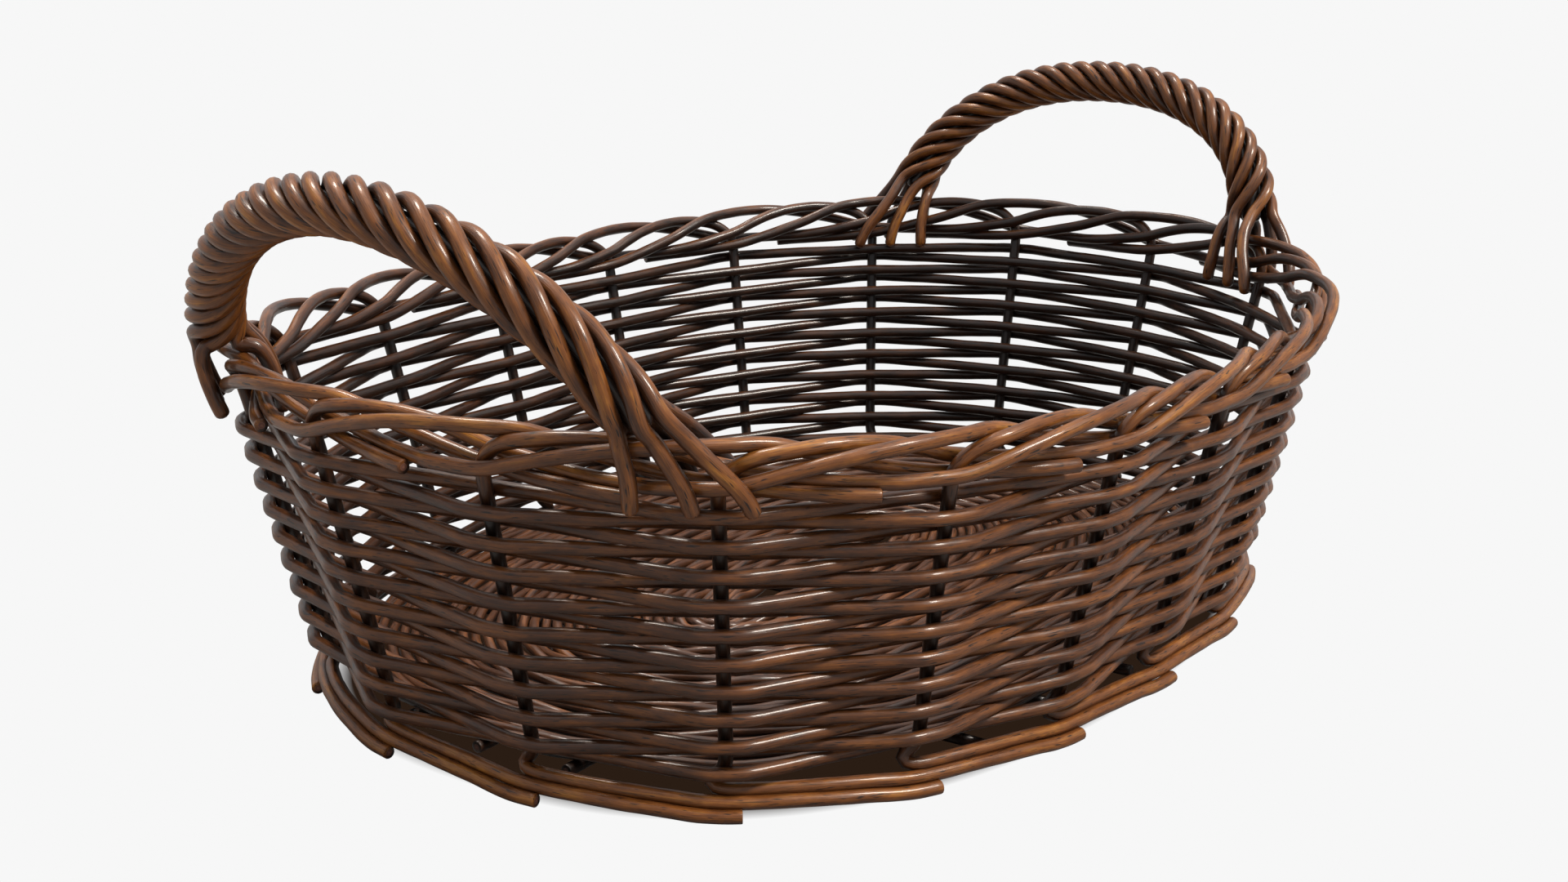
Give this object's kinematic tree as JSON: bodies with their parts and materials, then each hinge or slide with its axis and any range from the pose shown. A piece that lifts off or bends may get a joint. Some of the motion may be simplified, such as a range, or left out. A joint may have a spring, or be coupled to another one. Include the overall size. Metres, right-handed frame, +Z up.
{
  "type": "log basket",
  "caption": "Oval log basket woven from dark stained willow rods, with a roped rim, a rolled foot and a twisted rope handle at each end.",
  "frame": {"origin": "middle of the basket's footprint, on the floor it stands on", "axes": "+Z up; +X along the long way of the oval, through both handles; +Y across it"},
  "size_m": [0.6165, 0.4494, 0.2498],
  "materials": {
    "stakes": "dark stained and lacquered",
    "weavers": "brown stained and lacquered",
    "rope_strands": "brown stained and lacquered",
    "bows": "dark stained",
    "base_weave": "brown stained"
  },
  "bodies": {
    "root": {"base_mat": "base_weave", "base_stick_long_1": "base_weave", "base_stick_long_2": "base_weave", "base_stick_long_3": "base_weave", "base_stick_short_1": "base_weave", "base_stick_short_2": "base_weave", "base_stick_short_3": "base_weave", "base_stick_short_4": "base_weave", "base_stick_short_5": "base_weave", "handle_left_core": "bows", "handle_left_strand_1": "rope_strands", "handle_left_strand_2": "rope_strands", "handle_left_strand_3": "rope_strands", "handle_left_strand_4": "rope_strands", "handle_left_strand_5": "rope_strands", "handle_left_strand_6": "rope_strands", "handle_right_core": "bows", "handle_right_strand_1": "rope_strands", "handle_right_strand_2": "rope_strands", "handle_right_strand_3": "rope_strands", "handle_right_strand_4": "rope_strands", "handle_right_strand_5": "rope_strands", "handle_right_strand_6": "rope_strands", "stake_01": "stakes", "stake_02": "stakes", "stake_03": "stakes", "stake_04": "stakes", "stake_05": "stakes", "stake_06": "stakes", "stake_07": "stakes", "stake_08": "stakes", "stake_09": "stakes", "stake_10": "stakes", "stake_11": "stakes", "stake_12": "stakes", "stake_13": "stakes", "stake_14": "stakes", "stake_15": "stakes", "stake_16": "stakes", "stake_17": "stakes", "stake_18": "stakes", "weave_row_01": "weavers", "weave_row_02": "weavers", "weave_row_03": "weavers", "weave_row_04": "weavers", "weave_row_05": "weavers", "weave_row_06": "weavers", "weave_row_07": "weavers", "weave_row_08": "weavers", "weave_row_09": "weavers", "weave_row_10": "weavers", "weave_row_11": "weavers", "weave_row_12": "weavers", "weave_row_13": "weavers", "weave_row_14": "weavers", "weave_row_15": "weavers", "weave_row_16": "weavers", "weave_row_17": "weavers", "weave_row_18": "weavers", "weave_row_19": "weavers"}
  },
  "joints": []
}
